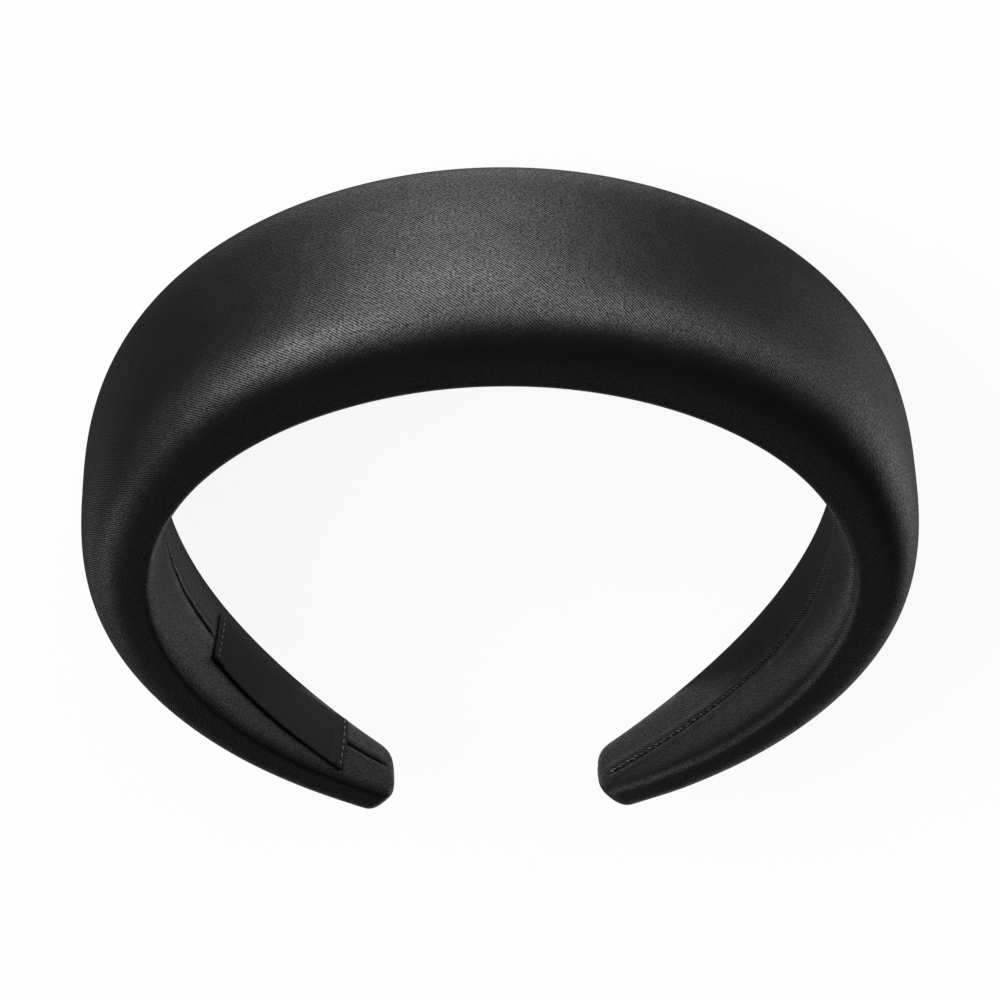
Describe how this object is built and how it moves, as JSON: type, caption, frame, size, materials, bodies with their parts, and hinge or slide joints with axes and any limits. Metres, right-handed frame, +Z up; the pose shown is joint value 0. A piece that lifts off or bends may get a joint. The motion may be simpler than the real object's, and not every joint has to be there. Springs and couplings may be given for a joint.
{
  "type": "hoop headband",
  "caption": "Padded hoop headband in black satin, wide and thick over the crown, tapering to two blunt tips, with a closing seam and a small plain label on its inner face.",
  "frame": {"origin": "under the middle of the hoop's bounding box, on the surface that the headband lies on", "axes": "+Z up from that surface, towards the hoop's front edge; +Y towards the crown, with the tips towards -Y; +X towards the arm with no label"},
  "size_m": [0.1596, 0.1536, 0.0475],
  "materials": {
    "satin": "satin",
    "woven_label": "matt"
  },
  "bodies": {
    "root": {"padded_band": "satin", "label": "woven_label"}
  },
  "joints": []
}
